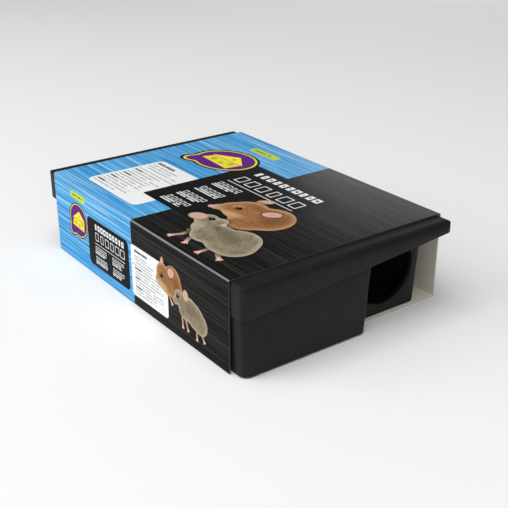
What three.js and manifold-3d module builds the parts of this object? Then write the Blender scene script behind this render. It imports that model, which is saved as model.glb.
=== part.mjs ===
// Mouse bait station: a moulded plastic box with a hinged lid, inside a printed card sleeve.
// X runs along the sleeve, -Y is the front, +Y is the hinge side and +Z is up.
// The origin is on the ground under the middle of the sleeve. All sizes are in millimetres.

import * as THREE from 'three';
import { mergeVertices } from 'three/addons/utils/BufferGeometryUtils.js';
import Module from 'manifold-3d';

const wasm = await Module();
wasm.setup();

// Driving dimensions.
const STATION_LENGTH = 138;
const LID_WIDTH = 93;
const SLEEVE_LENGTH = 124;
const SLEEVE_HEIGHT = 34;
const CARD = 0.5;
const WALL = 1.8;
const GAP = 0.3;
const SLEEVE_GAP = 0.1;

// The parting line between lid and base slopes up from the front to the back.
const PARTING_FRONT = 21.5;
const PARTING_BACK = 29.2;

// Two opposite corners of the base are recessed, and an entrance hole opens into each recess.
const RECESS_X = 61.5;
const RECESS_Y = 40.2;
const RECESS_RADIUS = 3.5;
const RECESS_START_X = 36;
const RECESS_START_Y = 8.8;
const ENTRANCE_RADIUS = 13.1;
const ENTRANCE_Y = 21.7;
const ENTRANCE_Z = 17.4;

// Heights and half sizes that follow from the driving dimensions.
const LID_TOP = SLEEVE_HEIGHT - CARD - SLEEVE_GAP;
const LID_UNDERSIDE = LID_TOP - WALL;
const BASE_BOTTOM = CARD + SLEEVE_GAP;
const FLOOR_TOP = BASE_BOTTOM + WALL;
const WALL_TOP = LID_UNDERSIDE - 0.5;
const LID_X = STATION_LENGTH / 2;
const LID_Y = LID_WIDTH / 2;
const RIM_STEP = 0.4;
const SLEEVE_X = SLEEVE_LENGTH / 2;
const SLEEVE_INNER_Y = LID_Y + SLEEVE_GAP;
const SLEEVE_OUTER_Y = SLEEVE_INNER_Y + CARD;

// Roundings of the mouldings.
const PLAN_RADIUS = 2.5;
const END_RADIUS = 3;
const EDGE_RADIUS = 1.5;
const SMALLEST_RADIUS = 0.3;
const CORNER_STEPS = 5;

// The hinge runs along the lid's top back edge and has two stations.
const HINGE_Y = LID_Y - EDGE_RADIUS;
const HINGE_Z = LID_TOP - EDGE_RADIUS;
const HINGE_STATIONS = [-40, 20];
const KNUCKLE_RADIUS = 1.5;
const KNUCKLE_CLEARANCE = 1.8;
const BASE_KNUCKLE_HALF = 3;
const HINGE_HALF = 9;
const PIN_RADIUS = 0.6;
const PIN_BORE = 0.9;
const HINGE_SWEEP = 3.2;
const KNUCKLE_POST_BOTTOM = 27.2;

// The quarter-turn lock goes through the lid near its front edge.
const LOCK_Y = -36;
const LOCK_HEAD_RADIUS = 6;
const LOCK_STEM_RADIUS = 3.5;
const LOCK_STEM_BOTTOM = 23.9;
const LOCK_BOSS_BOTTOM = 26.5;
const CATCH_HALF = 6;
const CATCH_FRONT = -43.7;
const CATCH_BACK = -41.2;
const CAM_THICKNESS = 2.4;
const CAM_REACH = 6.6;
const CAM_TOP = LOCK_STEM_BOTTOM - GAP;
const CAM_BOTTOM = CAM_TOP - CAM_THICKNESS;

// The removable bait tray stands on the base floor and carries the bait rods.
const TRAY_X = 56;
const TRAY_Y = 11.8;
const TRAY_WALL = 1.2;
const TRAY_BOTTOM = FLOOR_TOP + GAP;
const TRAY_TOP = 30.6;
const DOORWAY_INNER_X = 26;
const ROD_RADIUS = 1.1;
const ROD_Z = 15;

// Bait blocks hang on the rods.
const BLOCK_LENGTH = 20;
const BLOCK_SIDE = 18;
const BLOCK_X = [13, 36];

// The key lies on the floor of the front tunnel.
const KEY_Y = -37.5;
const KEY_Z = 5.2;

const blackPlastic = new THREE.MeshStandardMaterial({ color: 0x1f1f21, roughness: 0.5 });
const greyPlastic = new THREE.MeshStandardMaterial({ color: 0x3a3b3d, roughness: 0.55 });
const steel = new THREE.MeshStandardMaterial({ color: 0xb4b7ba, roughness: 0.3, metalness: 1 });
const baitWax = new THREE.MeshStandardMaterial({ color: 0x2f8f96, roughness: 0.75 });
const printedCard = new THREE.MeshStandardMaterial({ color: 0x5aa2dc, roughness: 0.6 });
const plainCard = new THREE.MeshStandardMaterial({ color: 0xb9ad95, roughness: 0.85 });

const station = new THREE.Group();

// Solids and meshes.

function solid(geometry) {
  geometry.deleteAttribute('normal');
  geometry.deleteAttribute('uv');
  const merged = mergeVertices(geometry);
  const vertProperties = new Float32Array(merged.attributes.position.array);
  const triVerts = new Uint32Array(merged.index.array);
  return new wasm.Manifold(new wasm.Mesh({ numProp: 3, vertProperties, triVerts }));
}

function addPart(name, shape, material) {
  const { vertProperties, triVerts } = shape.getMesh();
  const geometry = new THREE.BufferGeometry();
  geometry.setAttribute('position', new THREE.BufferAttribute(vertProperties, 3));
  geometry.setIndex(new THREE.BufferAttribute(triVerts, 1));
  geometry.computeVertexNormals();
  const mesh = new THREE.Mesh(geometry, material);
  mesh.name = name;
  station.add(mesh);
  return mesh;
}

function joined(shapes) {
  return shapes.reduce((whole, shape) => whole.add(shape));
}

// The same shape after half a turn about Z, for pieces that come in opposite pairs.
function halfTurn(shape) {
  return shape.rotate([0, 0, 180]);
}

// Outlines. A corner is [x, y, radius].

function roundedOutline(corners) {
  const points = [];
  corners.forEach(([x, y, radius], index) => {
    const corner = new THREE.Vector2(x, y);
    const [previousX, previousY] = corners.at(index - 1);
    const [nextX, nextY] = corners[(index + 1) % corners.length];
    const toPrevious = new THREE.Vector2(previousX, previousY).sub(corner).normalize();
    const toNext = new THREE.Vector2(nextX, nextY).sub(corner).normalize();
    if (radius === 0) {
      points.push(corner);
      return;
    }
    const halfAngle = Math.acos(toPrevious.dot(toNext)) / 2;
    const middle = toPrevious.clone().add(toNext).normalize();
    const centre = corner.clone().addScaledVector(middle, radius / Math.sin(halfAngle));
    const start = corner.clone().addScaledVector(toPrevious, radius / Math.tan(halfAngle)).sub(centre);
    const turn = Math.PI - 2 * halfAngle;
    const direction = Math.sign(toPrevious.cross(toNext)) * -1;
    for (let step = 0; step <= CORNER_STEPS; step += 1) {
      const spoke = start.clone().rotateAround(new THREE.Vector2(), direction * turn * step / CORNER_STEPS);
      points.push(spoke.add(centre));
    }
  });
  return points;
}

function rectangle(x0, x1, y0, y1, radius = 0) {
  return roundedOutline([[x0, y0, radius], [x1, y0, radius], [x1, y1, radius], [x0, y1, radius]]);
}

function circle(x, y, radius, segments) {
  const ring = Array.from({ length: segments }, (_, step) => 2 * Math.PI * step / segments);
  return ring.map((angle) => new THREE.Vector2(x + radius * Math.cos(angle), y + radius * Math.sin(angle)));
}

// Prisms. An outline is read as (x, y), (x, z) or (y, z), for a prism along Z, Y or X.

const UNIT_X = new THREE.Vector3(1, 0, 0);
const UNIT_Y = new THREE.Vector3(0, 1, 0);
const UNIT_Z = new THREE.Vector3(0, 0, 1);
const ALONG_X = new THREE.Matrix4().makeBasis(UNIT_Y, UNIT_Z, UNIT_X);
const ALONG_Y = new THREE.Matrix4().makeBasis(UNIT_X, UNIT_Z, UNIT_Y.clone().negate());

function extruded(outline, depth) {
  return new THREE.ExtrudeGeometry(new THREE.Shape(outline), { depth, bevelEnabled: false });
}

function prismX(outline, x0, x1) {
  return solid(extruded(outline, x1 - x0).applyMatrix4(ALONG_X).translate(x0, 0, 0));
}

function prismY(outline, y0, y1) {
  return solid(extruded(outline, y1 - y0).applyMatrix4(ALONG_Y).translate(0, y1, 0));
}

function prismZ(outline, z0, z1) {
  return solid(extruded(outline, z1 - z0).translate(0, 0, z0));
}

function box(x0, x1, y0, y1, z0, z1) {
  return prismZ(rectangle(x0, x1, y0, y1), z0, z1);
}

function discZ(x, y, radius, z0, z1, segments = 40) {
  return prismZ(circle(x, y, radius, segments), z0, z1);
}

function rodX(y, z, radius, x0, x1, segments = 24) {
  return prismX(circle(y, z, radius, segments), x0, x1);
}

// A prism whose outline changes evenly from the bottom to the top, for walls with draft.
function draftedPrism(lower, upper, z0, z1) {
  const count = lower.length;
  const lowerPoints = lower.flatMap(({ x, y }) => [x, y, z0]);
  const upperPoints = upper.flatMap(({ x, y }) => [x, y, z1]);
  const faces = [];
  THREE.ShapeUtils.triangulateShape(lower, []).forEach(([a, b, c]) => faces.push(a, c, b));
  THREE.ShapeUtils.triangulateShape(upper, []).forEach((face) => faces.push(...face.map((i) => i + count)));
  for (let i = 0; i < count; i += 1) {
    const next = (i + 1) % count;
    faces.push(i, next, next + count);
    faces.push(i, next + count, i + count);
  }
  const geometry = new THREE.BufferGeometry();
  const positions = new Float32Array([...lowerPoints, ...upperPoints]);
  geometry.setAttribute('position', new THREE.BufferAttribute(positions, 3));
  geometry.setIndex(faces);
  return solid(geometry);
}

// The parting plane.

function partingAt(y) {
  return PARTING_FRONT + (PARTING_BACK - PARTING_FRONT) * (y + LID_Y) / LID_WIDTH;
}

// Everything between two heights that are measured from the parting plane.
function partingSlab(low, high) {
  const far = 60;
  const outline = [
    new THREE.Vector2(-far, partingAt(-far) + low),
    new THREE.Vector2(far, partingAt(far) + low),
    new THREE.Vector2(far, partingAt(far) + high),
    new THREE.Vector2(-far, partingAt(-far) + high),
  ];
  return prismX(outline, -STATION_LENGTH, STATION_LENGTH);
}

// The space under a dome of the lid's shape, shrunk by an inset on its sides and its top.
function lidSpace(inset, topDrop) {
  const x = LID_X - inset;
  const y = LID_Y - inset;
  const top = LID_TOP - topDrop;
  const rounding = (radius) => Math.max(radius - inset, SMALLEST_RADIUS);
  const plan = prismZ(rectangle(-x, x, -y, y, rounding(PLAN_RADIUS)), 0, top);
  const endRadius = rounding(END_RADIUS);
  const profile = roundedOutline([[-x, 0, 0], [x, 0, 0], [x, top, endRadius], [-x, top, endRadius]]);
  return plan.intersect(prismY(profile, -y, y));
}

function hingeRod(radius, x0, x1, segments = 24) {
  return rodX(HINGE_Y, HINGE_Z, radius, x0, x1, segments);
}

// Lid: a shallow dome with a sloping skirt, hinge knuckles at the back and a lock boss.

function makeLid() {
  const section = roundedOutline([
    [-LID_Y, 0, 0],
    [LID_Y, 0, 0],
    [LID_Y, LID_TOP, EDGE_RADIUS],
    [-LID_Y, LID_TOP, EDGE_RADIUS],
  ]);
  const dome = lidSpace(0, 0).intersect(prismX(section, -LID_X, LID_X));
  let lid = dome.subtract(lidSpace(WALL, WALL));

  const boss = discZ(0, LOCK_Y, LOCK_HEAD_RADIUS + 2, LOCK_BOSS_BOTTOM, LID_UNDERSIDE + 0.4);
  const headRecess = discZ(0, LOCK_Y, LOCK_HEAD_RADIUS + GAP, LID_UNDERSIDE, LID_TOP + 1);
  const stemBore = discZ(0, LOCK_Y, LOCK_STEM_RADIUS + GAP, LOCK_BOSS_BOTTOM - 1, LID_TOP + 1);
  lid = lid.add(boss).subtract(headRecess).subtract(stemBore);

  for (const x of HINGE_STATIONS) {
    const knuckle = hingeRod(KNUCKLE_RADIUS, x - HINGE_HALF, x + HINGE_HALF);
    const half = BASE_KNUCKLE_HALF + GAP;
    const window = hingeRod(KNUCKLE_CLEARANCE, x - half, x + half);
    const skirtWindow = box(x - half, x + half, HINGE_Y - 1.8, LID_Y + 1, 20, HINGE_Z);
    const bore = hingeRod(PIN_BORE, x - HINGE_HALF + GAP, x + HINGE_HALF + 1);
    const pinNotch = hingeRod(KNUCKLE_CLEARANCE, x + HINGE_HALF, x + HINGE_HALF + 3);
    lid = lid.add(knuckle).subtract(window).subtract(skirtWindow).subtract(bore).subtract(pinNotch);
  }
  return lid.intersect(partingSlab(GAP / 2, 2 * SLEEVE_HEIGHT));
}

// Base: a tray with drafted walls. A share of 1 gives the outline at the floor, 0 at the top.

function baseOutline(draftShare, inset) {
  const shift = 0.5 * draftShare + inset;
  const endX = LID_X - RIM_STEP - shift;
  const sideY = LID_Y - RIM_STEP - shift;
  const startX = RECESS_START_X - shift;
  const startY = RECESS_START_Y - 1.9 * draftShare - inset;
  const recessX = RECESS_X - draftShare - inset;
  const recessY = RECESS_Y - 1.2 * draftShare - inset;
  const convex = (radius) => Math.max(radius - inset, SMALLEST_RADIUS);
  const concave = (radius) => radius + inset;
  const half = [
    [endX, -sideY, convex(PLAN_RADIUS - RIM_STEP + draftShare)],
    [endX, startY, convex(2)],
    [recessX, startY, concave(1)],
    [recessX, recessY, convex(RECESS_RADIUS)],
    [startX, recessY, concave(1)],
    [startX, sideY, convex(2)],
  ];
  return roundedOutline([...half, ...half.map(([x, y, radius]) => [-x, -y, radius])]);
}

function baseBody(inset, z0) {
  return draftedPrism(baseOutline(1, inset), baseOutline(0, inset), z0, WALL_TOP);
}

// The lip stands inside the lid's skirt and keeps the lid in line.
function baseLip(outside) {
  const outer = lidSpace(WALL + RIM_STEP, WALL + 0.5);
  const inner = lidSpace(WALL + RIM_STEP + 1.2, 0);
  return outer.subtract(inner).intersect(partingSlab(-4, 3)).intersect(outside);
}

function baseKnuckles() {
  const knuckles = HINGE_STATIONS.map((x) => {
    const round = hingeRod(KNUCKLE_RADIUS, x - BASE_KNUCKLE_HALF, x + BASE_KNUCKLE_HALF);
    const [x0, x1] = [x - BASE_KNUCKLE_HALF, x + BASE_KNUCKLE_HALF];
    const post = box(x0, x1, HINGE_Y - 1.6, HINGE_Y - 0.4, KNUCKLE_POST_BOTTOM, HINGE_Z);
    const bore = hingeRod(PIN_BORE, x - HINGE_HALF, x + HINGE_HALF);
    return round.add(post).subtract(bore);
  });
  return joined(knuckles);
}

// The catch on the front lip: the lock's cam turns under it.
function lockCatch() {
  return box(-CATCH_HALF, CATCH_HALF, CATCH_FRONT, CATCH_BACK, CAM_TOP + 0.4, CAM_TOP + 2.4);
}

function keyClips() {
  const posts = [38, 46].flatMap((x) => [-1, 1].map((side) => {
    const middle = KEY_Y + side * 3.6;
    return box(x - 1, x + 1, middle - 0.6, middle + 0.6, FLOOR_TOP - 0.5, KEY_Z + 1.5);
  }));
  return joined(posts);
}

function makeBase() {
  const outside = baseBody(0, BASE_BOTTOM);
  const inside = draftedPrism(baseOutline(1, WALL), baseOutline(0, WALL), FLOOR_TOP, WALL_TOP + 0.1);
  const belowParting = partingSlab(-2 * SLEEVE_HEIGHT, -GAP / 2);
  const insideLip = lidSpace(WALL + RIM_STEP + 1.2, WALL + 0.5);
  let base = outside.subtract(inside).intersect(belowParting.add(insideLip));
  base = base.add(baseLip(outside));

  const entrance = rodX(ENTRANCE_Y, ENTRANCE_Z, ENTRANCE_RADIUS, RECESS_X - 6, RECESS_X + 2, 56);
  base = base.subtract(entrance).subtract(halfTurn(entrance));

  const fixingHole = discZ(45, -27, 2, 0, FLOOR_TOP + 1, 20);
  base = base.subtract(fixingHole).subtract(halfTurn(fixingHole));

  base = base.subtract(hingeRod(HINGE_SWEEP, -LID_X, LID_X, 40));
  return joined([base, baseKnuckles(), lockCatch(), keyClips()]);
}

// Bait tray: two half-length baffle walls, end walls and a divider with slots for the rods.

function makeBaitTray() {
  const inner = TRAY_Y - TRAY_WALL;
  const halfPieces = [
    box(-DOORWAY_INNER_X, TRAY_X, inner, TRAY_Y, TRAY_BOTTOM, TRAY_TOP),
    box(-TRAY_X, -DOORWAY_INNER_X, inner, TRAY_Y, TRAY_BOTTOM, TRAY_BOTTOM + 4.2),
    box(TRAY_X - TRAY_WALL, TRAY_X, -TRAY_Y, TRAY_Y, TRAY_BOTTOM, TRAY_TOP),
    box(-TRAY_X, TRAY_X, -0.5, TRAY_Y, TRAY_BOTTOM, TRAY_BOTTOM + TRAY_WALL),
  ];
  const half = joined(halfPieces);
  const divider = box(-2, 2, -TRAY_Y, TRAY_Y, TRAY_BOTTOM, ROD_Z + 1);
  const slotHalf = ROD_RADIUS + GAP;
  const slotRound = rodX(0, ROD_Z, slotHalf, -TRAY_X - 1, TRAY_X + 1);
  const slotAbove = box(-TRAY_X - 1, TRAY_X + 1, -slotHalf, slotHalf, ROD_Z, TRAY_TOP + 1);
  return joined([half, halfTurn(half), divider]).subtract(slotRound).subtract(slotAbove);
}

// Bait rod: a straight wire with its outer end bent down as a handle.

function makeBaitRod() {
  const bendX = TRAY_X + 2;
  const bendRadius = 3;
  const start = new THREE.Vector3(0.6, 0, ROD_Z);
  const beforeBend = new THREE.Vector3(bendX, 0, ROD_Z);
  const corner = new THREE.Vector3(bendX + bendRadius, 0, ROD_Z);
  const afterBend = new THREE.Vector3(bendX + bendRadius, 0, ROD_Z - bendRadius);
  const end = new THREE.Vector3(bendX + bendRadius, 0, ROD_Z - 8);
  const route = new THREE.CurvePath();
  route.add(new THREE.LineCurve3(start, beforeBend));
  route.add(new THREE.QuadraticBezierCurve3(beforeBend, corner, afterBend));
  route.add(new THREE.LineCurve3(afterBend, end));
  const section = new THREE.Shape(circle(0, 0, ROD_RADIUS, 12));
  return solid(new THREE.ExtrudeGeometry(section, { steps: 48, extrudePath: route }));
}

// Bait block: a wax block with a groove down each side and a hole for the rod.

function makeBaitBlock() {
  const side = BLOCK_SIDE / 2;
  const body = prismX(rectangle(-side, side, -side, side, 2), -BLOCK_LENGTH / 2, BLOCK_LENGTH / 2);
  const grooveCentre = side + 1.2;
  const grooves = [[grooveCentre, 0], [-grooveCentre, 0], [0, grooveCentre], [0, -grooveCentre]];
  const cuts = grooves.map(([y, z]) => rodX(y, z, 2.6, -BLOCK_LENGTH, BLOCK_LENGTH));
  const hole = rodX(0, 0, 2.25, -BLOCK_LENGTH, BLOCK_LENGTH);
  return body.subtract(joined(cuts)).subtract(hole);
}

// Lock: a slotted barrel in the lid, a cam under it, and a screw with a washer.

function makeLockBarrel() {
  const head = discZ(0, LOCK_Y, LOCK_HEAD_RADIUS, LID_UNDERSIDE + GAP, LID_TOP);
  const stem = discZ(0, LOCK_Y, LOCK_STEM_RADIUS, LOCK_STEM_BOTTOM, LID_UNDERSIDE + 1);
  const slot = box(-4, 4, LOCK_Y - 0.8, LOCK_Y + 0.8, LID_TOP - 1, LID_TOP + 1);
  const screwHole = discZ(0, LOCK_Y, 1.3, LOCK_STEM_BOTTOM - 1, LOCK_STEM_BOTTOM + 4, 20);
  return head.add(stem).subtract(slot).subtract(screwHole);
}

function makeLockCam() {
  const hub = discZ(0, LOCK_Y, 4.2, CAM_BOTTOM, CAM_TOP);
  const arm = prismZ(rectangle(0, CAM_REACH, LOCK_Y - 2.5, LOCK_Y + 2.5, 1), CAM_BOTTOM, CAM_TOP);
  const hole = discZ(0, LOCK_Y, 1.3, CAM_BOTTOM - 1, CAM_TOP + 1, 20);
  return hub.add(arm).subtract(hole);
}

function makeCamWasher() {
  const disc = discZ(0, LOCK_Y, 3, CAM_BOTTOM - GAP - 0.6, CAM_BOTTOM - GAP, 32);
  return disc.subtract(discZ(0, LOCK_Y, 1.3, 0, CAM_TOP, 20));
}

function makeCamScrew() {
  const headTop = CAM_BOTTOM - 2 * GAP - 0.6;
  const head = discZ(0, LOCK_Y, 2.1, headTop - 1.4, headTop, 24);
  const shank = discZ(0, LOCK_Y, 1, headTop - 1, LOCK_STEM_BOTTOM + 3.5, 20);
  const slot = box(-2.5, 2.5, LOCK_Y - 0.3, LOCK_Y + 0.3, headTop - 2, headTop - 0.8);
  return head.add(shank).subtract(slot);
}

function makeKey() {
  const handle = prismZ(rectangle(14, 32, -5.5, 5.5, 3), -1.5, 1.5);
  const hangHole = discZ(19, 0, 2.5, -3, 3, 24);
  const shaft = rodX(0, 0, 2.5, 30, 51);
  const blade = box(50, 56, -3.8, 3.8, -0.7, 0.7);
  return handle.add(shaft).add(blade).subtract(hangHole);
}

// Card sleeve: the top and front panels with a short strip at the back, and the rest below it.
// It is divided along the bottom front crease and just under the hinge.

const SPLIT_UPPER_Z = 30;
const SPLIT_LOWER_Z = 28.8;

function polygon(corners) {
  return roundedOutline(corners.map(([x, y]) => [x, y, 0]));
}

function makeUpperSleeve() {
  const section = polygon([
    [-SLEEVE_OUTER_Y, 0.2],
    [-SLEEVE_INNER_Y, 0.2],
    [-SLEEVE_INNER_Y, SLEEVE_HEIGHT - CARD],
    [SLEEVE_INNER_Y, SLEEVE_HEIGHT - CARD],
    [SLEEVE_INNER_Y, SPLIT_UPPER_Z],
    [SLEEVE_OUTER_Y, SPLIT_UPPER_Z],
    [SLEEVE_OUTER_Y, SLEEVE_HEIGHT],
    [-SLEEVE_OUTER_Y, SLEEVE_HEIGHT],
  ]);
  const notches = HINGE_STATIONS.map((x) => {
    const half = BASE_KNUCKLE_HALF + 0.6;
    return box(x - half, x + half, LID_Y, SLEEVE_OUTER_Y + 1, SPLIT_UPPER_Z - 1, HINGE_Z + GAP);
  });
  return prismX(section, -SLEEVE_X, SLEEVE_X).subtract(joined(notches));
}

function makeLowerSleeve() {
  const section = polygon([
    [-SLEEVE_INNER_Y + 0.4, 0],
    [SLEEVE_OUTER_Y, 0],
    [SLEEVE_OUTER_Y, SPLIT_LOWER_Z],
    [SLEEVE_INNER_Y, SPLIT_LOWER_Z],
    [SLEEVE_INNER_Y, CARD],
    [-SLEEVE_INNER_Y + 0.4, CARD],
  ]);
  return prismX(section, -SLEEVE_X, SLEEVE_X);
}

// Assembly.

addPart('lid', makeLid(), blackPlastic);
addPart('base_tray', makeBase(), blackPlastic);
addPart('bait_tray', makeBaitTray(), greyPlastic);

const pin = rodX(0, 0, PIN_RADIUS, -HINGE_HALF + 0.8, HINGE_HALF - 0.5, 16);
HINGE_STATIONS.forEach((x, index) => {
  const mesh = addPart(['hinge_pin_far', 'hinge_pin_near'][index], pin, steel);
  mesh.position.set(x, HINGE_Y, HINGE_Z);
});

const rod = makeBaitRod();
addPart('bait_rod_near', rod, steel);
addPart('bait_rod_far', halfTurn(rod), steel);

const block = makeBaitBlock();
const blockPlaces = [...BLOCK_X.map((x) => -x).reverse(), ...BLOCK_X];
blockPlaces.forEach((x, index) => {
  const mesh = addPart(`bait_block_${index + 1}`, block, baitWax);
  mesh.position.set(x, 0, ROD_Z);
});

addPart('lock_barrel', makeLockBarrel(), greyPlastic);
addPart('lock_cam', makeLockCam(), greyPlastic);
addPart('cam_washer', makeCamWasher(), steel);
addPart('cam_screw', makeCamScrew(), steel);
addPart('lock_key', makeKey(), greyPlastic).position.set(0, KEY_Y, KEY_Z);

addPart('card_sleeve_upper', makeUpperSleeve(), printedCard);
addPart('card_sleeve_lower', makeLowerSleeve(), plainCard);

export default station;
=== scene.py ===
"""A mouse bait station in its printed card sleeve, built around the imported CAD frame."""

import math

import bmesh
import bpy
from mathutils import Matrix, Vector


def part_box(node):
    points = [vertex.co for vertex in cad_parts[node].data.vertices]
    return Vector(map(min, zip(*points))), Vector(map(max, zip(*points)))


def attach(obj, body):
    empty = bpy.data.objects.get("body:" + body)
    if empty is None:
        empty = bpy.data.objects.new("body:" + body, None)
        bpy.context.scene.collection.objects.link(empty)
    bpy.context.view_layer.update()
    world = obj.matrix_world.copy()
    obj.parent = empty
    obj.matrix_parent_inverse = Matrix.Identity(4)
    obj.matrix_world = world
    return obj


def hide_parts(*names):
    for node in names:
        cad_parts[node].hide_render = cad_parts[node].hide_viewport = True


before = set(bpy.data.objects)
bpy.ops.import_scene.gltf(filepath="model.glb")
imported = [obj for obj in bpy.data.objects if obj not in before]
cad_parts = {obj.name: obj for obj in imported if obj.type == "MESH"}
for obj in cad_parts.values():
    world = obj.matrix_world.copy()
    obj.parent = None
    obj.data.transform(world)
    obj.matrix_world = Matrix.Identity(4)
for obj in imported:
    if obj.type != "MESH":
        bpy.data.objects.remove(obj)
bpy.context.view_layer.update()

MM = 0.001

# The sleeve's size, from its two CAD parts.
upper_low, upper_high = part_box("card_sleeve_upper")
lower_low, lower_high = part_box("card_sleeve_lower")
SLEEVE_X = upper_high.x
SLEEVE_Y = upper_high.y
SLEEVE_TOP = upper_high.z

# The camera's place, as an angle round the object, a height angle and a distance.
CAMERA_TARGET = Vector((20.8, -6.9, 17.0)) * MM
CAMERA_AZIMUTH = math.radians(53.7)
CAMERA_ELEVATION = math.radians(24.55)
CAMERA_DISTANCE = 0.3462
CAMERA_LENS = 65.9

# The card of the sleeve.
CARD_THICKNESS = 0.5 * MM
CREASE_RADIUS = 0.9 * MM
CREASE_STEPS = 6

# The strip at the back is notched where the knuckles of the base come up.
STRIP_BOTTOM = 30.0 * MM
NOTCH_HEIGHT = 2.2 * MM
NOTCH_HALF = 3.6 * MM

# Rounds on the edges of the mouldings and of the wax blocks.
MOULDING_ROUND = 0.25 * MM
WAX_ROUND = 0.5 * MM

# Edges that turn by more than this angle are shaded sharp.
SHARP_ANGLE = math.radians(28.0)

# Faces that turn by less than this angle are merged into one flat face.
FLAT_ANGLE = math.radians(0.5)
MERGE_DISTANCE = 0.001 * MM

# Strength of the reflections, as the shader's specular level.
PLASTIC_SHINE = 0.15
CARD_SHINE = 0.09
FRONT_CARD_SHINE = 0.03

# The print, in mm: the place along the sleeve where blue gives way to black, the half width of a
# crisp edge, and how far from the crease a painted highlight reaches, with its soft edge.
PRINT_DIVIDE = 0.6
PRINT_EDGE = 0.06
DIVIDE_EDGE = 0.1
CREASE_HIGHLIGHT_REACH = 0.52
CREASE_HIGHLIGHT_EDGE = 0.15

# The studio.
FLOOR_REACH = 4.0
FLOOR_COLOUR = (0.92, 0.92, 0.92)
FLOOR_ROUGHNESS = 0.9
WORLD_STRENGTH = 0.14
LIGHT_TARGET = Vector((0.0, 0.0, 0.02))

# Softboxes: name, azimuth and height angle in degrees, distance in m, size in m, power in W.
SOFTBOXES = (
    ("overhead", 20.0, 72.0, 1.5, (1.6, 1.3), 18.5),
    ("front_left", -25.0, 28.0, 1.0, (0.7, 0.6), 3.8),
    ("back_sheen", 217.0, 12.0, 1.0, (0.40, 0.20), 0.5),
    ("near_end", 62.0, 22.0, 1.0, (0.5, 0.5), 2.0),
)

# Colours, as linear RGB.
BLACK_INK = (0.004, 0.004, 0.0038)
BLACK_STRIPE = (0.024, 0.0233, 0.0215)
BLUE_INK = (0.070, 0.36, 0.71)
BLUE_DEEP = (0.032, 0.23, 0.54)
BLUE_PALE = (0.25, 0.57, 0.84)
WHITE_INK = (0.86, 0.87, 0.87)
GREY_INK = (0.38, 0.38, 0.39)
DARK_INK = (0.04, 0.04, 0.045)
PURPLE_INK = (0.125, 0.012, 0.22)
YELLOW_INK = (0.87, 0.74, 0.035)
LIME_INK = (0.56, 0.68, 0.04)
OLIVE_INK = (0.16, 0.22, 0.01)
# Painted highlight along the front top crease.
CREASE_HIGHLIGHT = (0.50, 0.51, 0.52)
EYE_BLACK = (0.006, 0.005, 0.004)
BROWN_FUR = (0.17, 0.065, 0.020)
BROWN_FUR_LIGHT = (0.47, 0.225, 0.080)
BROWN_FUR_RIM = (0.62, 0.39, 0.21)
GREY_FUR = (0.115, 0.088, 0.054)
GREY_FUR_LIGHT = (0.38, 0.32, 0.21)
GREY_FUR_RIM = (0.54, 0.47, 0.35)
PINK_SKIN = (0.66, 0.39, 0.32)
CARD_GREY = (0.70, 0.66, 0.56)
CARD_CREAM = (0.88, 0.85, 0.75)


# Fields: numbers that vary over a surface, worked out by shader nodes.


class Field:
    """A shader node's number, which can be used in sums."""

    def __init__(self, tree, socket):
        self.tree = tree
        self.socket = socket

    def apply(self, operation, *others):
        node = self.tree.nodes.new("ShaderNodeMath")
        node.operation = operation
        for index, value in enumerate((self, *others)):
            connect(self.tree, value, node.inputs[index])
        return Field(self.tree, node.outputs[0])

    def __add__(self, other):
        return self.apply("ADD", other)

    def __sub__(self, other):
        return self.apply("SUBTRACT", other)

    def __mul__(self, other):
        return self.apply("MULTIPLY", other)

    def __truediv__(self, other):
        return self.apply("DIVIDE", other)

    def __neg__(self):
        return self.apply("MULTIPLY", -1.0)

    def __abs__(self):
        return self.apply("ABSOLUTE")

    def floor(self):
        return self.apply("FLOOR")

    def max(self, other):
        return self.apply("MAXIMUM", other)

    def min(self, other):
        return self.apply("MINIMUM", other)

    def blend_min(self, other, width):
        return self.apply("SMOOTH_MIN", other, width)

    def ramp(self, low, high):
        """0 at low, 1 at high, clamped outside them."""
        node = self.tree.nodes.new("ShaderNodeMapRange")
        connect(self.tree, self, node.inputs["Value"])
        node.inputs["From Min"].default_value = low
        node.inputs["From Max"].default_value = high
        return Field(self.tree, node.outputs[0])


def connect(tree, value, socket):
    """Puts a field, a socket or a plain value into a node's input."""
    if isinstance(value, Field):
        tree.links.new(value.socket, socket)
    elif isinstance(value, bpy.types.NodeSocket):
        tree.links.new(value, socket)
    elif isinstance(value, tuple):
        socket.default_value = (*value, 1.0)
    else:
        socket.default_value = value


def length(x, y):
    return (x * x + y * y).apply("SQRT")


def noise(tree, vector, scale, detail=2.0, roughness=0.5):
    node = tree.nodes.new("ShaderNodeTexNoise")
    tree.links.new(vector, node.inputs["Vector"])
    node.inputs["Scale"].default_value = scale
    node.inputs["Detail"].default_value = detail
    node.inputs["Roughness"].default_value = roughness
    return Field(tree, node.outputs["Fac"])


def vector_of(tree, x, y, z=0.0):
    node = tree.nodes.new("ShaderNodeCombineXYZ")
    for index, value in enumerate((x, y, z)):
        connect(tree, value, node.inputs[index])
    return node.outputs[0]


def scatter(tree, x, y):
    """A random number from 0 to 1 that is the same wherever x and y are the same."""
    node = tree.nodes.new("ShaderNodeTexWhiteNoise")
    node.noise_dimensions = "2D"
    tree.links.new(vector_of(tree, x, y), node.inputs["Vector"])
    return Field(tree, node.outputs["Value"])


def mix(tree, amount, first, second):
    """The first colour where the amount is 0 and the second where it is 1."""
    node = tree.nodes.new("ShaderNodeMix")
    node.data_type = "RGBA"
    connect(tree, amount, node.inputs["Factor"])
    connect(tree, first, node.inputs["A"])
    connect(tree, second, node.inputs["B"])
    return node.outputs["Result"]


# Flat shapes: each gives the distance to the shape's edge in mm, negative inside it.


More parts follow.
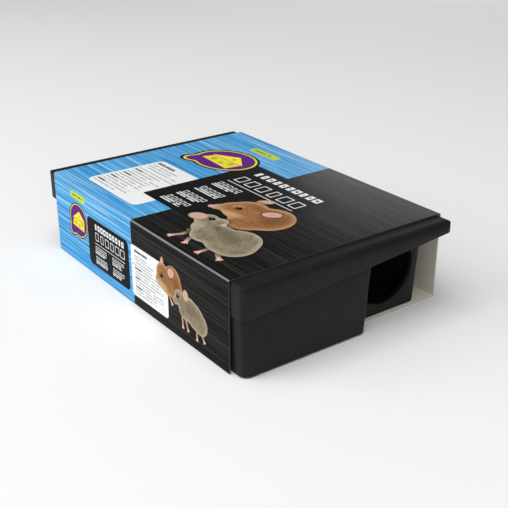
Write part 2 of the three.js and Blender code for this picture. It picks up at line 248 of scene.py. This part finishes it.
def round_box(x, y, box, radius=0.0):
    """box is (x0, x1, y0, y1)."""
    x0, x1, y0, y1 = box
    dx = abs(x - (x0 + x1) / 2) - ((x1 - x0) / 2 - radius)
    dy = abs(y - (y0 + y1) / 2) - ((y1 - y0) / 2 - radius)
    if radius == 0.0:
        return dx.max(dy)
    return length(dx.max(0.0), dy.max(0.0)) + dx.max(dy).min(0.0) - radius


def ellipse(x, y, centre, radii, degrees=0.0):
    cos = math.cos(math.radians(degrees))
    sin = math.sin(math.radians(degrees))
    dx = x - centre[0]
    dy = y - centre[1]
    along = (dx * cos + dy * sin) / radii[0]
    across = (dy * cos - dx * sin) / radii[1]
    return (length(along, across) - 1.0) * min(radii)


def limb(x, y, start, end, radius):
    """A rounded bar between two points."""
    run = Vector(end) - Vector(start)
    dx = x - start[0]
    dy = y - start[1]
    share = (dx * run.x + dy * run.y) / run.length_squared
    share = share.max(0.0).min(1.0)
    return length(dx - share * run.x, dy - share * run.y) - radius


def convex(x, y, corners):
    """A straight-sided shape from its corners, in anticlockwise order."""
    shape = None
    for index, corner in enumerate(corners):
        side = Vector(corners[(index + 1) % len(corners)]) - Vector(corner)
        outward = Vector((side.y, -side.x)).normalized()
        edge = x * outward.x + y * outward.y - outward.dot(Vector(corner))
        shape = edge if shape is None else shape.max(edge)
    return shape


class Print:
    """A flat print that is built up layer by layer, in mm over one panel of the card."""

    def __init__(self, tree, x, y, colour):
        self.tree = tree
        self.x = x
        self.y = y
        self.colour = colour

    def fill(self, shape, colour):
        """Paints the inside of a shape with a crisp edge."""
        self.colour = mix(self.tree, shape.ramp(PRINT_EDGE, -PRINT_EDGE), self.colour, colour)

    def shade(self, amount, colour):
        """Lays a colour over everything, as strongly as the amount says at each place."""
        self.colour = mix(self.tree, amount, self.colour, colour)

    def box(self, box, colour, radius=0.0):
        self.fill(round_box(self.x, self.y, box, radius), colour)

    def symbols(self, box, cell, colour, stroke=0.0, seed=0.0):
        """A row of plain rounded blocks, solid with a small hole or drawn as outlines."""
        x0, x1, y0, y1 = box
        place = (self.x - x0) / cell
        index = place.floor()
        chance = scatter(self.tree, index, seed)
        half_width = chance * (cell * 0.16) + cell * 0.26
        half_height = (y1 - y0) / 2
        dx = abs((place - index - 0.5) * cell) - half_width
        dy = abs(self.y - (y0 + y1) / 2) - half_height
        shape = dx.max(dy)
        if stroke:
            shape = abs(shape + stroke / 2) - stroke / 2
        else:
            hole = (dx + cell * 0.24).max(dy + half_height * 0.62)
            shape = shape.max(-hole)
        self.fill(shape.max(round_box(self.x, self.y, box)), colour)

    def words(self, box, pitch, height, cell, colour, spaces=0.2, seed=0.0):
        """Lines of greyed-out words: small blocks with gaps, ragged at the right."""
        x0, x1, y0, y1 = box
        line = -(self.y - y1) / pitch
        row = line.floor()
        place = (self.x - x0) / cell
        index = place.floor()
        chance = scatter(self.tree, index + seed, row)
        across = abs(line - row - 0.5) * pitch - height / 2
        along = abs(place - index - 0.5) * cell - cell * 0.42
        ragged = self.x - (scatter(self.tree, row + seed, 0.5) * ((x0 - x1) * 0.35) + x1)
        blank = -(chance - spaces)
        shape = across.max(along).max(blank).max(ragged)
        self.fill(shape.max(round_box(self.x, self.y, box)), colour)


# Materials.


def new_material(name):
    """A material's node tree, its shader and its position in mm as a vector socket."""
    material = bpy.data.materials.new(name)
    material.use_nodes = True
    tree = material.node_tree
    shader = tree.nodes["Principled BSDF"]
    coordinates = tree.nodes.new("ShaderNodeTexCoord")
    scale = tree.nodes.new("ShaderNodeVectorMath")
    scale.operation = "SCALE"
    scale.inputs["Scale"].default_value = 1.0 / MM
    tree.links.new(coordinates.outputs["Object"], scale.inputs[0])
    return material, tree, shader, scale.outputs[0]


def split(tree, vector):
    node = tree.nodes.new("ShaderNodeSeparateXYZ")
    tree.links.new(vector, node.inputs[0])
    return [Field(tree, output) for output in node.outputs]


def bump(tree, shader, height, strength, distance=0.1 * MM):
    node = tree.nodes.new("ShaderNodeBump")
    node.inputs["Strength"].default_value = strength
    node.inputs["Distance"].default_value = distance
    connect(tree, height, node.inputs["Height"])
    tree.links.new(node.outputs[0], shader.inputs["Normal"])


def moulded_plastic(name, dark, light, roughness):
    """Satin moulded plastic: a fine spark-eroded grain, faint flow marks and small scuffs."""
    material, tree, shader, place = new_material(name)
    shader.inputs["Specular IOR Level"].default_value = PLASTIC_SHINE
    grain = noise(tree, place, 5.5, 3.0, 0.6)
    flow = noise(tree, place, 0.09, 2.0)
    scuff = noise(tree, place, 1.3, 4.0, 0.7).ramp(0.60, 0.78)
    colour = mix(tree, flow.ramp(0.3, 0.7), dark, light)
    colour = mix(tree, scuff * 0.25, colour, tuple(2.2 * part for part in light))
    connect(tree, colour, shader.inputs["Base Color"])
    connect(tree, (grain - 0.5) * 0.12 + (flow - 0.5) * 0.10 + roughness, shader.inputs["Roughness"])
    bump(tree, shader, grain, 0.22)
    return material


def zinc_wire():
    material, tree, shader, place = new_material("steel_wire")
    shader.inputs["Metallic"].default_value = 1.0
    cloud = noise(tree, place, 0.9, 4.0, 0.6)
    fine = noise(tree, place, 7.0, 2.0)
    connect(tree, mix(tree, cloud, (0.42, 0.43, 0.45), (0.68, 0.69, 0.70)), shader.inputs["Base Color"])
    connect(tree, cloud * 0.2 + 0.22, shader.inputs["Roughness"])
    bump(tree, shader, fine, 0.12)
    return material


def bait_wax():
    """Pressed wax with grain in it: mottled blue-green with paler husks and dark crumbs."""
    material, tree, shader, place = new_material("bait_wax")
    cloud = noise(tree, place, 0.35, 3.0, 0.6)
    crumbs = tree.nodes.new("ShaderNodeTexVoronoi")
    tree.links.new(place, crumbs.inputs["Vector"])
    crumbs.inputs["Scale"].default_value = 0.75
    distance = Field(tree, crumbs.outputs["Distance"])
    colour = mix(tree, cloud.ramp(0.3, 0.7), (0.03, 0.17, 0.22), (0.07, 0.34, 0.36))
    colour = mix(tree, distance.ramp(0.34, 0.10) * 0.55, colour, (0.34, 0.52, 0.42))
    colour = mix(tree, noise(tree, place, 1.6, 2.0).ramp(0.62, 0.70), colour, (0.015, 0.08, 0.10))
    connect(tree, colour, shader.inputs["Base Color"])
    connect(tree, cloud * 0.25 + 0.5, shader.inputs["Roughness"])
    shader.inputs["Subsurface Weight"].default_value = 0.08
    shader.inputs["Subsurface Scale"].default_value = 1.5 * MM
    bump(tree, shader, distance + cloud, 0.6, 0.3 * MM)
    return material


def plain_card(name, dark, light):
    """Unprinted board: long fibres, small flecks and a soft, uneven tone."""
    material, tree, shader, place = new_material(name)
    x, y, z = split(tree, place)
    fibres = noise(tree, vector_of(tree, x * 0.8, y * 4.0, z * 4.0), 1.1, 4.0, 0.65)
    cloud = noise(tree, place, 0.06, 3.0)
    flecks = noise(tree, place, 2.4, 2.0).ramp(0.70, 0.78)
    colour = mix(tree, fibres * 0.6 + cloud * 0.4, dark, light)
    colour = mix(tree, flecks * 0.35, colour, tuple(0.45 * part for part in dark))
    connect(tree, colour, shader.inputs["Base Color"])
    connect(tree, fibres * 0.1 + 0.78, shader.inputs["Roughness"])
    bump(tree, shader, fibres, 0.25)
    return material


def striped_ground(tree, along, across):
    """Uneven stripes along a panel, blue on its far half and black on its near half."""
    lines = noise(tree, vector_of(tree, along * 0.010, across), 0.80, 3.0, 0.75)
    fine = noise(tree, vector_of(tree, along * 0.012, across, 9.0), 1.1, 2.0, 0.6)
    blue = mix(tree, lines.ramp(0.42, 0.50), BLUE_DEEP, BLUE_INK)
    blue = mix(tree, fine.ramp(0.52, 0.60), blue, BLUE_PALE)
    black = mix(tree, lines.ramp(0.47, 0.53), BLACK_INK, BLACK_STRIPE)
    black = mix(tree, fine.ramp(0.48, 0.53) * 0.75, black, BLACK_INK)
    return mix(tree, along.ramp(PRINT_DIVIDE - DIVIDE_EDGE, PRINT_DIVIDE + DIVIDE_EDGE), blue, black)


# Artwork. Sizes are in mm on the panel: along the sleeve, and across it.


def badge(art, centre, half_width, half_height):
    """A purple badge with a yellow rim and a wedge of cheese on it."""
    def at(u, v):
        return (centre[0] + u * half_width, centre[1] + v * half_height)

    x, y = art.x, art.y
    wide = half_width * 0.95
    rim = ellipse(x, y, at(0.0, 0.05), (wide, half_height * 0.85), 14.0)
    rim = rim.blend_min(ellipse(x, y, at(-0.62, -0.5), (half_width * 0.42, half_height * 0.3), 40.0), 2.0)
    art.fill(rim - 0.06 * half_width, BLACK_INK)
    art.fill(rim, YELLOW_INK)
    art.fill(rim + 0.05 * half_width, PURPLE_INK)
    wedge = convex(x, y, [at(-0.62, -0.28), at(0.52, -0.36), at(0.58, 0.08), at(-0.52, 0.03)])
    cheese_top = convex(x, y, [at(-0.52, 0.12), at(0.58, 0.17), at(0.10, 0.52)])
    art.fill(wedge - 0.03 * half_width, YELLOW_INK)
    art.fill(cheese_top - 0.03 * half_width, tuple(min(1.0, 1.12 * part) for part in YELLOW_INK))
    for u, v, size in ((-0.32, -0.12, 0.11), (0.08, -0.19, 0.09), (0.36, -0.04, 0.10), (0.13, 0.29, 0.07)):
        hole = ellipse(x, y, at(u, v), (half_width * size, half_height * size))
        art.fill(hole, tuple(0.62 * part for part in YELLOW_INK))


def round_masses(x, y, discs, softness):
    """A soft outline round several discs, each given as (x, y, radius)."""
    shape = None
    for centre_x, centre_y, radius in discs:
        disc = length(x - centre_x, y - centre_y) - radius
        shape = disc if shape is None else shape.blend_min(disc, softness)
    return shape


def fur(art, body, size, dark, light, rim, shadow=0.0):
    """Paints a furry body: fine hairs, a paler rim and a soft shadow on whatever is behind it."""
    tree = art.tree
    hairs = noise(tree, vector_of(tree, art.x * 0.8, art.y * 1.5), 0.85 / size, 5.0, 0.9)
    patches = noise(tree, vector_of(tree, art.x, art.y, 4.0), 0.22 / size, 2.0)
    tone = hairs.ramp(0.40, 0.60) * 0.75 + patches.ramp(0.36, 0.64) * 0.25
    coat = mix(tree, tone, dark, light)
    coat = mix(tree, body.ramp(-2.4 * size, -0.1) * 0.6, coat, rim)
    if shadow:
        art.shade(body.ramp(2.0 * size, 0.0) * shadow, BLACK_INK)
    art.fill(body, coat)


def soft_patch(art, body, centre, radii, degrees, colour, strength):
    """A cloud of another tone on a body, which fades out towards its edge."""
    patch = ellipse(art.x, art.y, centre, radii, degrees)
    art.shade(patch.ramp(0.0, -0.8 * min(radii)) * body.ramp(0.0, -0.2) * strength, colour)


def eye(art, centre, size):
    """A black eye with a small glint."""
    art.fill(ellipse(art.x, art.y, centre, (size * 1.25, size)), EYE_BLACK)
    glint = (centre[0] - size * 0.5, centre[1] + size * 0.4)
    art.fill(ellipse(art.x, art.y, glint, (size * 0.13, size * 0.13)), WHITE_INK)


def ear(art, centre, radii, degrees, rim_colour):
    """A round ear, pink inside and darker in its middle."""
    rim = ellipse(art.x, art.y, centre, radii, degrees)
    inner = ellipse(art.x, art.y, centre, (radii[0] * 0.84, radii[1] * 0.80), degrees)
    art.fill(rim, rim_colour)
    art.fill(inner, PINK_SKIN)
    art.shade(inner.ramp(-0.4 * min(radii), -min(radii)) * 0.45, tuple(0.45 * part for part in PINK_SKIN))


def paws(art, limbs, radius):
    """Bare pink legs, each with three toes at its end."""
    for start, end in limbs:
        arm = limb(art.x, art.y, start, end, radius)
        reach = Vector(end) - Vector(start)
        art.fill(arm, tuple(0.72 * part for part in PINK_SKIN))
        for spread in (-28.0, 0.0, 28.0):
            angle = math.atan2(reach.y, reach.x) + math.radians(spread)
            tip = (end[0] + 2.4 * radius * math.cos(angle), end[1] + 2.4 * radius * math.sin(angle))
            toe = limb(art.x, art.y, end, tip, radius * 0.42)
            art.fill(toe, tuple(1.25 * part for part in PINK_SKIN))


def top_mice(art):
    """Two mice at the near half of the top panel."""
    x, y = art.x, art.y
    ear(art, (16.0, 2.2), (3.8, 2.0), 48.0, BROWN_FUR_LIGHT)
    masses = [
        (8.7, -14.8, 2.4), (12.4, -11.0, 4.8), (18.0, -8.6, 8.7),
        (29.8, -7.4, 10.3), (27.0, -14.0, 8.0),
    ]
    body = round_masses(x, y, masses, 2.6)
    fur(art, body, 1.0, BROWN_FUR, BROWN_FUR_LIGHT, BROWN_FUR_RIM, 0.7)
    soft_patch(art, body, (32.0, -7.0), (7.0, 9.0), -20.0, BROWN_FUR, 0.8)
    soft_patch(art, body, (20.0, -4.0), (6.0, 2.6), 20.0, BROWN_FUR, 0.5)
    soft_patch(art, body, (17.4, -15.0), (8.0, 3.0), 12.0, BROWN_FUR_RIM, 0.8)
    soft_patch(art, body, (13.4, -8.6), (3.4, 2.2), 40.0, BROWN_FUR_RIM, 0.4)
    soft_patch(art, body, (7.6, -15.6), (3.4, 2.6), 50.0, PINK_SKIN, 0.8)
    art.fill(ellipse(x, y, (6.9, -16.2), (1.5, 1.3)), PINK_SKIN)
    ear(art, (27.4, -3.6), (4.5, 3.0), 39.0, BROWN_FUR)
    eye(art, (15.0, -9.5), 1.25)

    arm_masses = [(20.4, -30.6, 3.0), (21.6, -34.4, 1.9), (22.4, -37.6, 1.2)]
    arm = round_masses(x, y, arm_masses, 1.2)
    fur(art, arm, 0.6, GREY_FUR, GREY_FUR_LIGHT, GREY_FUR)
    hands = [((22.6, -38.6), (21.4, -41.6)), ((27.0, -38.6), (28.6, -41.0))]
    feet = [((38.6, -38.6), (38.6, -41.8)), ((43.6, -38.6), (46.4, -40.0))]
    paws(art, hands + feet, 0.85)
    masses = [
        (16.4, -24.8, 4.5), (21.8, -22.8, 3.4), (21.4, -28.6, 5.2),
        (28.6, -30.4, 8.0), (38.8, -28.8, 10.0), (43.0, -31.0, 7.4),
    ]
    body = round_masses(x, y, masses, 2.4)
    fur(art, body, 1.0, GREY_FUR, GREY_FUR_LIGHT, GREY_FUR_RIM, 0.7)
    soft_patch(art, body, (33.0, -27.0), (11.0, 5.0), -20.0, GREY_FUR, 0.6)
    soft_patch(art, body, (26.0, -26.4), (4.0, 1.8), -20.0, GREY_FUR, 0.7)
    soft_patch(art, body, (19.6, -30.0), (3.4, 4.6), 30.0, GREY_FUR_RIM, 0.5)
    ear(art, (12.0, -25.4), (4.0, 3.0), 20.0, GREY_FUR_LIGHT)
    art.fill(ellipse(x, y, (25.0, -23.0), (1.1, 1.0)), PINK_SKIN)
    eye(art, (17.5, -23.1), 1.25)


def front_mice(art):
    """Two mice beside the small print on the front panel."""
    x, y = art.x, art.y
    ear(art, (21.6, 24.4), (1.2, 3.0), -8.0, BROWN_FUR_LIGHT)
    paws(art, [((26.0, 14.0), (27.3, 12.0))], 0.5)
    masses = [
        (22.2, 20.6, 4.3), (19.3, 17.4, 2.1), (22.6, 17.2, 2.8),
        (28.6, 20.8, 5.2), (30.4, 17.6, 4.6), (25.2, 16.6, 3.0),
    ]
    body = round_masses(x, y, masses, 1.4)
    fur(art, body, 0.55, BROWN_FUR, BROWN_FUR_LIGHT, BROWN_FUR_RIM)
    soft_patch(art, body, (31.0, 19.0), (3.2, 5.0), 0.0, BROWN_FUR, 0.7)
    soft_patch(art, body, (22.0, 16.0), (5.4, 2.0), -20.0, BROWN_FUR_RIM, 0.9)
    soft_patch(art, body, (18.6, 16.6), (2.0, 1.8), 0.0, PINK_SKIN, 0.8)
    ear(art, (27.4, 23.1), (2.6, 2.3), 30.0, BROWN_FUR)
    eye(art, (21.2, 19.8), 0.85)

    arms = [((34.1, 9.6), (34.4, 6.0)), ((36.4, 8.6), (37.4, 6.0))]
    legs = [((43.2, 7.4), (43.2, 5.0)), ((46.2, 7.4), (47.2, 5.8))]
    paws(art, arms + legs, 0.5)
    masses = [
        (32.6, 15.8, 3.1), (29.8, 13.8, 1.5), (36.2, 13.0, 4.3),
        (39.4, 13.6, 4.8), (42.4, 12.4, 5.0), (45.4, 11.0, 4.2),
    ]
    body = round_masses(x, y, masses, 1.4)
    fur(art, body, 0.55, GREY_FUR, GREY_FUR_LIGHT, GREY_FUR_RIM)
    soft_patch(art, body, (39.4, 13.6), (6.0, 2.8), -14.0, GREY_FUR, 0.55)
    ear(art, (36.6, 18.2), (1.7, 2.2), 0.0, GREY_FUR_LIGHT)
    eye(art, (31.4, 15.9), 0.75)


def top_art(art):
    """The top panel: small print, a badge and a tag, a title block and two mice."""
    art.box((-48.0, -10.4, -39.5, -4.0), WHITE_INK, 3.0)
    art.words((-46.4, -30.0, -8.4, -5.4), 3.0, 1.5, 1.25, DARK_INK, 0.0, 3.0)
    art.words((-46.4, -20.6, -14.8, -8.6), 1.9, 0.75, 0.8, GREY_INK, 0.16, 11.0)
    art.box((-46.4, -10.4, -16.1, -15.8), DARK_INK)
    art.words((-46.4, -21.6, -37.9, -17.1), 1.9, 0.75, 0.8, GREY_INK, 0.16, 23.0)
    for line in (-18.0, -23.7, -29.4, -35.1):
        art.words((-46.4, -39.4, line - 0.9, line + 0.9), 1.8, 1.0, 0.9, DARK_INK, 0.0, line)
    art.box((-20.4, 33.0, -29.7, 24.4), BLACK_INK, 1.0)
    badge(art, (-33.0, 17.0), 15.5, 13.5)
    art.box((-38.4, -20.6, 33.8, 38.0), LIME_INK, 1.0)
    art.words((-36.6, -22.4, 34.9, 36.9), 2.0, 1.1, 1.3, OLIVE_INK, 0.1, 41.0)
    art.symbols((-12.0, 28.6, 16.4, 20.2), 4.06, WHITE_INK, 0.0, 5.0)
    art.symbols((-12.8, 28.6, 6.6, 12.4), 6.9, WHITE_INK, 0.5, 8.0)
    art.box((-12.4, 28.6, 4.35, 4.75), WHITE_INK)
    for base in (-3.4, -11.5, -19.7, -27.0):
        art.symbols((-12.8, 2.2, base + 2.9, base + 5.3), 3.0, WHITE_INK, 0.35, base)
        art.words((-12.8, 4.0, base, base + 2.6), 1.3, 0.85, 0.9, WHITE_INK, 0.1, base)
    top_mice(art)


def front_art(art):
    """The front panel: the same things at a smaller size."""
    art.box((-0.2, 25.0, 4.1, 24.6), WHITE_INK, 1.6)
    art.words((2.4, 12.0, 21.8, 23.4), 1.6, 1.0, 0.9, DARK_INK, 0.0, 2.0)
    art.words((2.4, 16.5, 17.6, 21.2), 1.2, 0.5, 0.6, GREY_INK, 0.16, 12.0)
    art.box((0.4, 15.0, 16.95, 17.15), DARK_INK)
    art.words((2.4, 23.6, 5.2, 16.4), 1.25, 0.5, 0.6, GREY_INK, 0.16, 26.0)
    for line in (15.8, 12.0, 8.3):
        art.words((2.4, 7.4, line - 0.6, line + 0.6), 1.2, 0.7, 0.7, DARK_INK, 0.0, line)
    art.box((-34.4, -2.0, 4.2, 24.4), BLACK_INK, 2.2)
    badge(art, (-42.2, 18.8), 7.9, 8.2)
    art.box((-47.6, -35.6, 28.0, 30.9), LIME_INK, 0.8)
    art.words((-46.4, -36.8, 28.8, 30.1), 1.3, 0.75, 0.9, OLIVE_INK, 0.1, 43.0)
    art.symbols((-28.6, -5.2, 20.2, 22.6), 2.34, WHITE_INK, 0.0, 6.0)
    art.symbols((-28.9, -5.2, 15.7, 19.1), 4.0, WHITE_INK, 0.32, 9.0)
    art.box((-28.9, -5.2, 14.2, 14.45), WHITE_INK)
    for left in (-29.0, -15.4):
        for base in (9.9, 5.6):
            art.symbols((left, left + 9.2, base + 1.9, base + 3.3), 1.84, WHITE_INK, 0.25, left + base)
            art.words((left, left + 9.8, base, base + 1.6), 0.8, 0.5, 0.6, WHITE_INK, 0.1, left + base)
    front_mice(art)


def printed_card(name, panel):
    """Varnished printed card. panel is "top" or "front", or None where there is only the ground."""
    material, tree, shader, place = new_material(name)
    x, y, z = split(tree, place)
    across = z if panel == "front" else y
    art = Print(tree, x, across, striped_ground(tree, x, across))
    if panel == "top":
        top_art(art)
    elif panel == "front":
        front_art(art)
    # A pale band along the front top crease, uneven in strength, is a painted highlight of light catching
    # the rounded fold.
    from_crease = length(y + SLEEVE_Y / MM, z - SLEEVE_TOP / MM) - CREASE_HIGHLIGHT_REACH
    crease = from_crease.ramp(CREASE_HIGHLIGHT_EDGE, -CREASE_HIGHLIGHT_EDGE)
    highlight_unevenness = noise(tree, vector_of(tree, x * 0.1, y, z), 0.9, 3.0, 0.6)
    art.shade(crease * (highlight_unevenness * 0.5 + 0.25), CREASE_HIGHLIGHT)
    connect(tree, art.colour, shader.inputs["Base Color"])
    mottle = noise(tree, place, 0.5, 3.0, 0.6)
    connect(tree, mottle * 0.10 + 0.25, shader.inputs["Roughness"])
    shader.inputs["Specular IOR Level"].default_value = FRONT_CARD_SHINE if panel == "front" else CARD_SHINE
    bump(tree, shader, noise(tree, place, 1.8, 3.0, 0.6), 0.05)
    return material


BLACK_PLASTIC = moulded_plastic("black_plastic", (0.0095, 0.0095, 0.0090), (0.0135, 0.0135, 0.0125), 0.50)
GREY_PLASTIC = moulded_plastic("grey_plastic", (0.060, 0.061, 0.064), (0.085, 0.086, 0.090), 0.48)
STEEL = zinc_wire()
WAX = bait_wax()
CARD_TOP = printed_card("card_print_top", "top")
CARD_FRONT = printed_card("card_print_front", "front")
CARD_PLAIN_PRINT = printed_card("card_print_back", None)
CARD_INSIDE = plain_card("card_inside", tuple(0.8 * part for part in CARD_GREY), CARD_GREY)
CARD_FLOOR = plain_card("card_inside_floor", tuple(0.85 * part for part in CARD_CREAM), CARD_CREAM)
CARD_EDGE = plain_card("card_edge", (0.42, 0.40, 0.36), (0.62, 0.60, 0.55))
CARD_EDGE_INKED = plain_card("card_edge_inked", (0.03, 0.03, 0.03), (0.07, 0.07, 0.065))


# Pieces.


def add_piece(name, mesh_builder, materials, body, replaced):
    """Makes an object from a bmesh, which rides on a body and stands for CAD nodes."""
    mesh = bpy.data.meshes.new(name)
    mesh_builder.to_mesh(mesh)
    mesh_builder.free()
    piece = bpy.data.objects.new(name, mesh)
    bpy.context.scene.collection.objects.link(piece)
    for material in materials:
        mesh.materials.append(material)
    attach(piece, body)
    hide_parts(replaced)
    return piece


def refined(node, name, body, material, bevel=0.0, steps=2):
    """A copy of a CAD node with clean flat faces, small rounds on its edges and smooth shading."""
    shape = bmesh.new()
    shape.from_mesh(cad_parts[node].data)
    bmesh.ops.remove_doubles(shape, verts=shape.verts, dist=MERGE_DISTANCE)
    bmesh.ops.dissolve_limit(shape, angle_limit=FLAT_ANGLE, verts=shape.verts, edges=shape.edges)
    if bevel:
        edges = [
            edge for edge in shape.edges
            if edge.is_manifold and edge.calc_face_angle(0.0) > SHARP_ANGLE
        ]
        bmesh.ops.bevel(
            shape, geom=edges, offset=bevel, segments=steps, profile=0.5, affect="EDGES", clamp_overlap=True
        )
    for face in shape.faces:
        face.smooth = True
    for edge in shape.edges:
        edge.smooth = edge.calc_face_angle(math.pi) < SHARP_ANGLE
    return add_piece(name, shape, [material], body, node)


def card_outline(corners):
    """The outer line of a bent card in (y, z), with rounded creases, and the line of its inner face."""
    outer = []
    inner = []
    for index, corner in enumerate(corners):
        here = Vector(corner)
        before = (Vector(corners[index - 1]) - here).normalized() if index > 0 else None
        after = (Vector(corners[index + 1]) - here).normalized() if index + 1 < len(corners) else None
        if before is None or after is None:
            run = after if before is None else -before
            outer.append(here)
            inner.append(here + Vector((run.y, -run.x)) * CARD_THICKNESS)
            continue
        centre = here + (before + after) * CREASE_RADIUS
        for step in range(CREASE_STEPS + 1):
            angle = step / CREASE_STEPS * math.pi / 2
            spoke = -after * math.cos(angle) - before * math.sin(angle)
            outer.append(centre + spoke * CREASE_RADIUS)
            inner.append(centre + spoke * (CREASE_RADIUS - CARD_THICKNESS))
    return outer, inner


def card_shell(corners, half_length, face_material, notches=(), notch_height=0.0):
    """A bent card of real thickness. face_material picks a material slot from a face.

    Notches are spans of x that are cut into the free edge of the last panel.
    """
    lines = card_outline(corners)
    if notches:
        for line in lines:
            end = line[-1]
            line.insert(-1, Vector((end.x, end.y + notch_height)))
    last = len(lines[0]) - 1
    shape = bmesh.new()
    stations = sorted({-half_length, half_length, *(x for notch in notches for x in notch)})
    rings = [
        [[shape.verts.new((x, point.x, point.y)) for point in line] for line in lines] for x in stations
    ]
    for place, ((outer_0, inner_0), (outer_1, inner_1)) in enumerate(zip(rings, rings[1:])):
        is_notch = (stations[place], stations[place + 1]) in notches
        stop = last - 1 if is_notch else last
        for index in range(stop):
            after = index + 1
            shape.faces.new((outer_0[index], outer_0[after], outer_1[after], outer_1[index]))
            shape.faces.new((inner_0[index], inner_1[index], inner_1[after], inner_0[after]))
        for index in (0, stop):
            shape.faces.new((outer_0[index], outer_1[index], inner_1[index], inner_0[index]))
    for place, (outer, inner) in enumerate(rings):
        first = 0 if place in (0, len(rings) - 1) else last - 1
        for index in range(first, last):
            shape.faces.new((outer[index], inner[index], inner[index + 1], outer[index + 1]))
    bmesh.ops.recalc_face_normals(shape, faces=shape.faces)
    for face in shape.faces:
        face.material_index = face_material(face)
        face.smooth = True
    for edge in shape.edges:
        edge.smooth = edge.calc_face_angle(math.pi) < SHARP_ANGLE
    return shape


# Card sleeve. The creases are rounded, the outside is printed and the inside is plain.


def upper_face(face):
    """0 top print, 1 front print, 2 back print, 3 inside, 4 cut edge."""
    middle = face.calc_center_median()
    if abs(face.normal.x) > 0.5 or face.normal.z < -0.9 and middle.z < SLEEVE_TOP - 2 * CREASE_RADIUS:
        return 4
    outward = face.normal.dot(Vector((0.0, middle.y, middle.z - 0.5 * SLEEVE_TOP)))
    if outward < 0.0:
        return 3
    if face.normal.z > 0.5:
        return 0
    return 1 if middle.y < 0.0 else 2


def lower_face(face):
    """0 outside print, 1 inside of the back, 2 inside of the floor, 3 cut edge."""
    middle = face.calc_center_median()
    if abs(face.normal.x) > 0.5:
        return 3
    if face.normal.z > 0.5:
        return 3 if middle.z > lower_high.z - CARD_THICKNESS else 2
    if face.normal.y < -0.5:
        return 1 if middle.y > 0.0 else 3
    return 0


upper_corners = [
    (-SLEEVE_Y, upper_low.z),
    (-SLEEVE_Y, SLEEVE_TOP),
    (SLEEVE_Y, SLEEVE_TOP),
    (SLEEVE_Y, STRIP_BOTTOM),
]
pin_middles = [sum(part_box(node), Vector()).x / 2 for node in ("hinge_pin_far", "hinge_pin_near")]
strip_notches = [(middle - NOTCH_HALF, middle + NOTCH_HALF) for middle in pin_middles]
upper = card_shell(upper_corners, SLEEVE_X, upper_face, strip_notches, NOTCH_HEIGHT)
add_piece(
    "sleeve_top_and_front",
    upper,
    [CARD_TOP, CARD_FRONT, CARD_PLAIN_PRINT, CARD_INSIDE, CARD_EDGE_INKED],
    "sleeve_upper",
    "card_sleeve_upper",
)

lower_corners = [(SLEEVE_Y, lower_high.z), (SLEEVE_Y, lower_low.z), (lower_low.y, lower_low.z)]
lower = card_shell(lower_corners, SLEEVE_X, lower_face)
add_piece(
    "sleeve_back_and_floor",
    lower,
    [CARD_PLAIN_PRINT, CARD_INSIDE, CARD_FLOOR, CARD_EDGE],
    "sleeve_lower",
    "card_sleeve_lower",
)

# Plastic mouldings, wires, wax and lock.

refined("lid", "lid_moulding", "lid", BLACK_PLASTIC, MOULDING_ROUND)
refined("base_tray", "base_moulding", "base", BLACK_PLASTIC, MOULDING_ROUND)
refined("bait_tray", "bait_insert", "base", GREY_PLASTIC)
refined("lock_key", "key", "base", GREY_PLASTIC)
for node in ("hinge_pin_far", "hinge_pin_near", "bait_rod_near", "bait_rod_far"):
    refined(node, node + "_wire", "base", STEEL)
for number in range(1, 5):
    refined(f"bait_block_{number}", f"wax_block_{number}", "base", WAX, WAX_ROUND)
for node in ("lock_barrel", "lock_cam"):
    refined(node, node + "_moulding", "lock", GREY_PLASTIC)
for node in ("cam_washer", "cam_screw"):
    refined(node, node + "_steel", "lock", STEEL)


# Stage, camera and lights.


def add_floor():
    """A wide pale floor under the object."""
    mesh = bpy.data.meshes.new("floor")
    size = FLOOR_REACH
    corners = [(-size, -size, 0.0), (size, -size, 0.0), (size, size, 0.0), (-size, size, 0.0)]
    mesh.from_pydata(corners, [], [(0, 1, 2, 3)])
    floor = bpy.data.objects.new("floor", mesh)
    material = bpy.data.materials.new("floor")
    material.use_nodes = True
    shader = material.node_tree.nodes["Principled BSDF"]
    shader.inputs["Base Color"].default_value = (*FLOOR_COLOUR, 1.0)
    shader.inputs["Roughness"].default_value = FLOOR_ROUGHNESS
    mesh.materials.append(material)
    bpy.context.scene.collection.objects.link(floor)


def direction(azimuth, elevation):
    """From the object towards a point at that angle; azimuth 0 is the front."""
    flat = math.cos(elevation)
    return Vector((math.sin(azimuth) * flat, -math.cos(azimuth) * flat, math.sin(elevation)))


def aim(thing, place, target):
    thing.location = place
    thing.rotation_euler = (target - place).to_track_quat("-Z", "Y").to_euler()
    bpy.context.scene.collection.objects.link(thing)


def add_camera():
    data = bpy.data.cameras.new("camera")
    data.lens = CAMERA_LENS
    data.clip_start = 0.01
    camera = bpy.data.objects.new("camera", data)
    place = CAMERA_TARGET + direction(CAMERA_AZIMUTH, CAMERA_ELEVATION) * CAMERA_DISTANCE
    aim(camera, place, CAMERA_TARGET)
    bpy.context.scene.camera = camera


def add_softbox(name, azimuth, elevation, distance, size, watts):
    data = bpy.data.lights.new(name, "AREA")
    data.shape = "RECTANGLE"
    data.size, data.size_y = size
    data.energy = watts
    lamp = bpy.data.objects.new(name, data)
    place = direction(math.radians(azimuth), math.radians(elevation)) * distance
    aim(lamp, place, LIGHT_TARGET)


add_floor()
add_camera()
for softbox in SOFTBOXES:
    add_softbox(*softbox)

world = bpy.data.worlds.new("studio")
world.use_nodes = True
background = world.node_tree.nodes["Background"]
background.inputs["Color"].default_value = (1.0, 1.0, 1.0, 1.0)
background.inputs["Strength"].default_value = WORLD_STRENGTH
bpy.context.scene.world = world
bpy.context.scene.view_settings.view_transform = "Standard"
